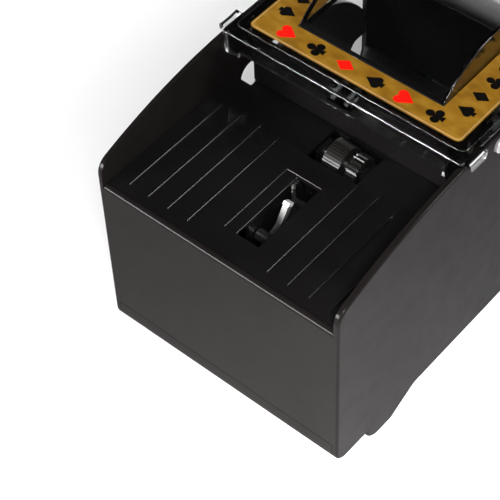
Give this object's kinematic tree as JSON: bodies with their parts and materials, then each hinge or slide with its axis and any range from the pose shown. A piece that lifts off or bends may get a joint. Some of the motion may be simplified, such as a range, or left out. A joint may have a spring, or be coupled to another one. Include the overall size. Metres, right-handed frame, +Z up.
{
  "type": "automatic card shuffler",
  "caption": "Two-tray motorised card shuffler: ribbed feed rollers push cards from sloping-sided trays under gates into a middle well and drawer, below a clear vaulted cover.",
  "frame": {"origin": "on the resting plane, at the middle of the footprint", "axes": "+X along the length from tray to tray, +Y toward the drawer side, +Z up"},
  "size_m": [0.202, 0.0988, 0.1088],
  "materials": {
    "housing_plastic": "satin moulded, charcoal black",
    "tray_plastic": "glossy moulded, black",
    "drawer_plastic": "semi-gloss moulded, black",
    "clear_plastic": "clear polished polystyrene",
    "label_gold": "mottled gold foil with printed suit pips",
    "button_silver": "satin silver paint on moulded plastic",
    "roller_rubber": "ribbed black rubber",
    "gear_plastic": "moulded acetal, dark",
    "gear_white": "moulded nylon, natural white",
    "steel": "turned steel",
    "bush_brass": "sintered brass",
    "motor_can": "zinc plated steel",
    "frame_plastic": "moulded, black",
    "lever_plastic": "moulded acetal, dark grey",
    "cap_grey": "polished, light grey",
    "switch_black": "moulded, black",
    "spring_steel": "nickel plated spring steel",
    "cell_wrap": "plain printed sleeve",
    "board_green": "solder resist, green",
    "capacitor_blue": "sleeved, dark blue"
  },
  "bodies": {
    "housing": {"main_housing": "housing_plastic", "bottom_cover": "housing_plastic", "card_tray_left": "tray_plastic", "card_tray_right": "tray_plastic", "gear_pins": "steel", "lever_pins": "steel", "bottom_screws": "steel", "gearbox_screws": "steel", "motor_screws": "steel", "bracket_screws": "steel", "board_screws": "steel", "roller_bushes": "gear_plastic", "motor_left": "motor_can", "motor_right": "motor_can", "motor_cap_left": "gear_white", "motor_cap_right": "gear_white", "gearbox_frame_left": "frame_plastic", "gearbox_frame_right": "frame_plastic", "gearbox_cover_left": "frame_plastic", "gearbox_cover_right": "frame_plastic", "card_switches": "switch_black", "power_switch": "switch_black", "switch_bracket": "motor_can", "button_springs": "spring_steel", "battery_springs": "spring_steel", "battery_contacts": "spring_steel", "battery_cells": "cell_wrap", "circuit_board": "board_green", "control_chip": "switch_black", "capacitors": "capacitor_blue", "wire_connectors": "gear_white"},
    "cover": {"clear_cover": "clear_plastic", "gold_label": "label_gold", "gate_left": "tray_plastic", "gate_right": "tray_plastic", "gate_screws": "steel"},
    "drawer": {"card_drawer": "drawer_plastic"},
    "power_button": {"power_button": "button_silver"},
    "battery_door": {"battery_door": "housing_plastic"},
    "left_roller": {"roller_shaft_left": "steel", "roller_hub_left": "gear_plastic", "roller_sleeve_left": "roller_rubber"},
    "left_reducer": {"reduction_gear_left": "gear_white"},
    "left_rotor": {"motor_shaft_left": "steel", "motor_pinion_left": "bush_brass"},
    "left_lever": {"sensing_lever_left": "lever_plastic", "lever_cap_left": "cap_grey"},
    "right_roller": {"roller_shaft_right": "steel", "roller_hub_right": "gear_plastic", "roller_sleeve_right": "roller_rubber"},
    "right_reducer": {"reduction_gear_right": "gear_white"},
    "right_rotor": {"motor_shaft_right": "steel", "motor_pinion_right": "bush_brass"},
    "right_lever": {"sensing_lever_right": "lever_plastic", "lever_cap_right": "cap_grey"}
  },
  "joints": [
    {"name": "cover_lift", "type": "slide", "parent": "housing", "child": "cover", "axis": [0, 0, 1], "range_m": [0, 0.03]},
    {"name": "drawer_slide", "type": "slide", "parent": "housing", "child": "drawer", "axis": [0, 1, 0], "range_m": [0, 0.075]},
    {"name": "button_press", "type": "slide", "parent": "housing", "child": "power_button", "axis": [0, 1, 0], "range_m": [0, 0.0012], "stiffness_N_per_m": 500, "springref_m": -0.001, "deforming": ["button_springs"]},
    {"name": "battery_door_hinge", "type": "hinge", "parent": "housing", "child": "battery_door", "pos_m": [-0.093, 0, 0.0074], "axis": [0, 1, 0], "range_deg": [0, 95]},
    {"name": "left_roller_spin", "type": "hinge", "parent": "housing", "child": "left_roller", "pos_m": [-0.0435, -0.0035, 0.071], "axis": [0, 1, 0], "continuous": true},
    {"name": "left_reducer_spin", "type": "hinge", "parent": "housing", "child": "left_reducer", "pos_m": [-0.0462, -0.0135, 0.06189], "axis": [0, 1, 0], "continuous": true},
    {"name": "left_motor_spin", "type": "hinge", "parent": "housing", "child": "left_rotor", "pos_m": [-0.0462, -0.0135, 0.04939], "axis": [0, 1, 0], "continuous": true},
    {"name": "left_lever_press", "type": "hinge", "parent": "housing", "child": "left_lever", "pos_m": [-0.079, -0.0035, 0.0645], "axis": [0, 1, 0], "range_deg": [0, 12], "stiffness_Nm_per_rad": 0.012, "springref_deg": -8.59},
    {"name": "right_roller_spin", "type": "hinge", "parent": "housing", "child": "right_roller", "pos_m": [0.0435, -0.0035, 0.071], "axis": [0, -1, 0], "continuous": true},
    {"name": "right_reducer_spin", "type": "hinge", "parent": "housing", "child": "right_reducer", "pos_m": [0.0462, -0.0135, 0.06189], "axis": [0, -1, 0], "continuous": true},
    {"name": "right_motor_spin", "type": "hinge", "parent": "housing", "child": "right_rotor", "pos_m": [0.0462, -0.0135, 0.04939], "axis": [0, -1, 0], "continuous": true},
    {"name": "right_lever_press", "type": "hinge", "parent": "housing", "child": "right_lever", "pos_m": [0.079, -0.0035, 0.0645], "axis": [0, -1, 0], "range_deg": [0, 12], "stiffness_Nm_per_rad": 0.012, "springref_deg": -8.59}
  ],
  "couplings": [
    {"joint": "left_reducer_spin", "follows": "left_roller_spin", "ratio": -1.375},
    {"joint": "left_motor_spin", "follows": "left_roller_spin", "ratio": 5.5},
    {"joint": "right_reducer_spin", "follows": "right_roller_spin", "ratio": -1.375},
    {"joint": "right_motor_spin", "follows": "right_roller_spin", "ratio": 5.5}
  ]
}
